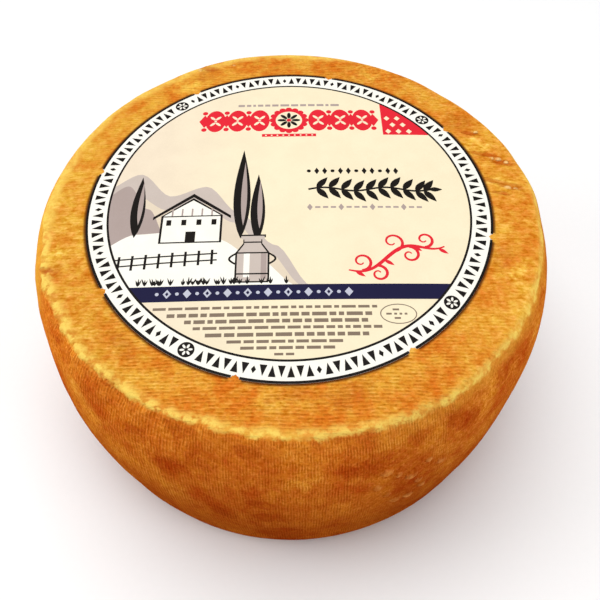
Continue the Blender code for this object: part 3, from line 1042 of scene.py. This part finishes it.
def inlaid_label(layers, inks):
    """One closed sheet of paper whose faces are cut along the print and carry its inks."""
    points = []
    faces = []
    for _, shape in layers:
        outline = with_short_edges(anticlockwise(shape))
        faces.append(list(range(len(points), len(points) + len(outline))))
        points += outline
    points += dome_points()
    flat, _, cut, _, _, owners = delaunay_2d_cdt([Vector(point) for point in points], [], faces, 0, 1e-6)
    turn = Matrix.Rotation(LABEL_TURN, 2)
    sheet = bmesh.new()
    upper = []
    lower = []
    for corner in flat:
        place = turn @ Vector(corner) * LABEL_RADIUS + Vector((0.0, LABEL_SHIFT))
        height = WHEEL_HEIGHT - TOP_SAG * (math.hypot(place.x, place.y) / LABEL_RADIUS) ** 2
        upper.append(sheet.verts.new((place.x, place.y, height)))
        lower.append(sheet.verts.new((place.x, place.y, height - PAPER_THICKNESS)))
    order = list(inks)
    paper = order.index("white")
    edges = {}
    for corners, held in zip(cut, owners):
        if 0 not in held:
            continue
        printed = sheet.faces.new([upper[corner] for corner in corners])
        printed.material_index = order.index(layers[max(held)][0])
        sheet.faces.new([lower[corner] for corner in reversed(corners)]).material_index = paper
        edges.update(dict.fromkeys(zip(corners, corners[1:] + corners[:1])))
    for first, second in edges:
        if (second, first) not in edges:
            wall = sheet.faces.new([upper[second], upper[first], lower[first], lower[second]])
            wall.material_index = paper
    loose = [vertex for vertex in sheet.verts if not vertex.link_faces]
    bmesh.ops.delete(sheet, geom=loose, context="VERTS")
    mesh = bpy.data.meshes.new("paper_label")
    sheet.to_mesh(mesh)
    sheet.free()
    for material in inks.values():
        mesh.materials.append(material)
    mesh.shade_smooth()
    mesh.set_sharp_from_angle(angle=SHARP_ANGLE)
    return mesh


def printed_material(name, ink, second=None, roughness=0.42):
    """Printed paper: the ink with a faint mottle; a second colour takes over towards the left."""
    material, board, shader = new_material(name, 0.03)
    place = board.place()
    fibre = board.noise(place, 1400.0, 3.0, 0.6)
    cloud = board.noise(place, 90.0, 3.0, 0.55)
    cockle = board.noise(place, 45.0, 1.0)
    if second is not None:
        leftward = (board.parts(place)[0] + (cloud - 0.5) * 0.02).ease(0.0, -0.080)
        ink = board.blend(leftward, ink, second)
    mottle = (cloud * 0.6 + fibre * 0.4).ease(0.35, 0.65)
    shade = board.blend(mottle, (0.955, 0.95, 0.94), (1.0, 1.0, 1.0))
    board.join(board.blend(1.0, ink, shade, "MULTIPLY"), shader.inputs["Base Color"])
    board.join(roughness + (fibre - 0.5) * 0.12, shader.inputs["Roughness"])
    add_bump(board, shader, fibre * 0.06 + cockle)
    return material


def label_inks(look):
    """The finish of each ink by name."""
    return {
        "cream": printed_material("cream_paper", look.cream, look.blush),
        "white": printed_material("white_paper", look.white),
        "black": printed_material("black_ink", look.black, None, 0.36),
        "navy": printed_material("navy_ink", look.navy, None, 0.36),
        "silver": printed_material("silver_ink", look.silver),
        "red": printed_material("red_ink", look.red, None, 0.38),
        "mauve": printed_material("mauve_ink", look.mauve),
        "grey": printed_material("grey_ink", look.grey),
        "blush": printed_material("blush_ink", [part * 0.90 for part in look.blush]),
        "brown": printed_material("brown_ink", look.brown),
    }


class CHEESE_OT_label(bpy.types.Operator):
    """Make the printed paper label"""
    bl_idname = "cheese_wheel.make_label"
    bl_label = "Make Label"

    def execute(self, context):
        look = context.scene.label_settings
        dice = random.Random(look.seed)
        layers = [("cream", label_outline()), *picture_shapes(dice), *ornament_shapes(dice),
                  *lower_shapes(dice), *border_shapes()]
        label = placed("paper_label", inlaid_label(layers, label_inks(look)))
        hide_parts("label")
        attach(label, "root")
        return {"FINISHED"}


# The stage

CAMERA_FROM_LABEL = Vector((0.00455, -0.20157, 0.21840))
FLOOR_RADIUS = 2.5
FLOOR_COLOURS = ((0.90, 0.90, 0.90), (0.92, 0.92, 0.92))


def make_floor():
    """A matt pale board with a very faint grain."""
    material, board, shader = new_material("pale_board", 0.2)
    grain = board.noise(board.place(), 300.0, 3.0)
    board.join(board.blend(grain, *FLOOR_COLOURS), shader.inputs["Base Color"])
    shader.inputs["Roughness"].default_value = 0.9
    round_board = bmesh.new()
    bmesh.ops.create_circle(round_board, cap_ends=True, segments=96, radius=FLOOR_RADIUS)
    mesh = bpy.data.meshes.new("studio_floor")
    round_board.to_mesh(mesh)
    round_board.free()
    mesh.materials.append(material)
    placed("studio_floor", mesh)


def make_lamp(name, place, aim, size, power):
    lamp = bpy.data.lights.new(name, "AREA")
    lamp.shape = "DISK"
    lamp.size = size
    lamp.energy = power
    holder = placed(name, lamp)
    holder.location = place
    holder.rotation_euler = (Vector(aim) - Vector(place)).to_track_quat("-Z", "Y").to_euler()


def make_camera(scene, stage):
    camera = bpy.data.cameras.new("photo_camera")
    camera.lens = stage.lens
    camera.sensor_width = 36.0
    camera.clip_start = 0.01
    apex = Vector((0.0, LABEL_SHIFT, WHEEL_HEIGHT))
    tilt = Matrix.Rotation(math.pi / 2 - stage.pitch, 4, "X") @ Matrix.Rotation(stage.roll, 4, "Z")
    scene.camera = placed("photo_camera", camera)
    scene.camera.matrix_world = Matrix.Translation(apex + CAMERA_FROM_LABEL) @ tilt


class CHEESE_OT_stage(bpy.types.Operator):
    """Set the floor, the lights and the camera"""
    bl_idname = "cheese_wheel.set_stage"
    bl_label = "Set Stage"

    def execute(self, context):
        scene = context.scene
        stage = scene.stage_settings
        make_floor()
        make_lamp("overhead", (-0.20, 0.25, 1.7), (0.0, 0.0, 0.1), 1.7, stage.key_power)
        make_lamp("left", (-1.3, 0.0, 0.5), (0.0, 0.0, 0.06), 0.8, stage.side_power)
        make_lamp("right", (1.12, -0.65, 0.5), (0.0, 0.0, 0.06), 0.8, stage.side_power * 0.9)
        surroundings = bpy.data.worlds.new("studio")
        surroundings.use_nodes = True
        backdrop = surroundings.node_tree.nodes["Background"]
        backdrop.inputs["Color"].default_value = (1.0, 1.0, 1.0, 1.0)
        backdrop.inputs["Strength"].default_value = stage.sky
        scene.world = surroundings
        scene.view_settings.view_transform = "Standard"
        make_camera(scene, stage)
        return {"FINISHED"}


# The add-on

class CHEESE_PT_panel(bpy.types.Panel):
    """Lists the steps and their settings"""
    bl_label = "Cheese Wheel"
    bl_idname = "CHEESE_PT_panel"
    bl_space_type = "VIEW_3D"
    bl_region_type = "UI"
    bl_category = "Cheese Wheel"

    def draw(self, context):
        for operator, settings, _ in STEPS:
            box = self.layout.box()
            box.operator(operator.bl_idname)
            group = getattr(context.scene, settings)
            for name in group.bl_rna.properties.keys():
                if name not in ("rna_type", "name"):
                    box.prop(group, name)


STEPS = (
    (CHEESE_OT_rind, "rind_settings", RindSettings),
    (CHEESE_OT_label, "label_settings", LabelSettings),
    (CHEESE_OT_stage, "stage_settings", StageSettings),
)


def register():
    for operator, settings, group in STEPS:
        bpy.utils.register_class(group)
        setattr(bpy.types.Scene, settings, PointerProperty(type=group))
        bpy.utils.register_class(operator)
    bpy.utils.register_class(CHEESE_PT_panel)


def unregister():
    bpy.utils.unregister_class(CHEESE_PT_panel)
    for operator, settings, group in reversed(STEPS):
        bpy.utils.unregister_class(operator)
        delattr(bpy.types.Scene, settings)
        bpy.utils.unregister_class(group)


def main():
    register()
    bpy.ops.cheese_wheel.make_rind()
    bpy.ops.cheese_wheel.make_label()
    bpy.ops.cheese_wheel.set_stage()


if __name__ == "__main__":
    main()
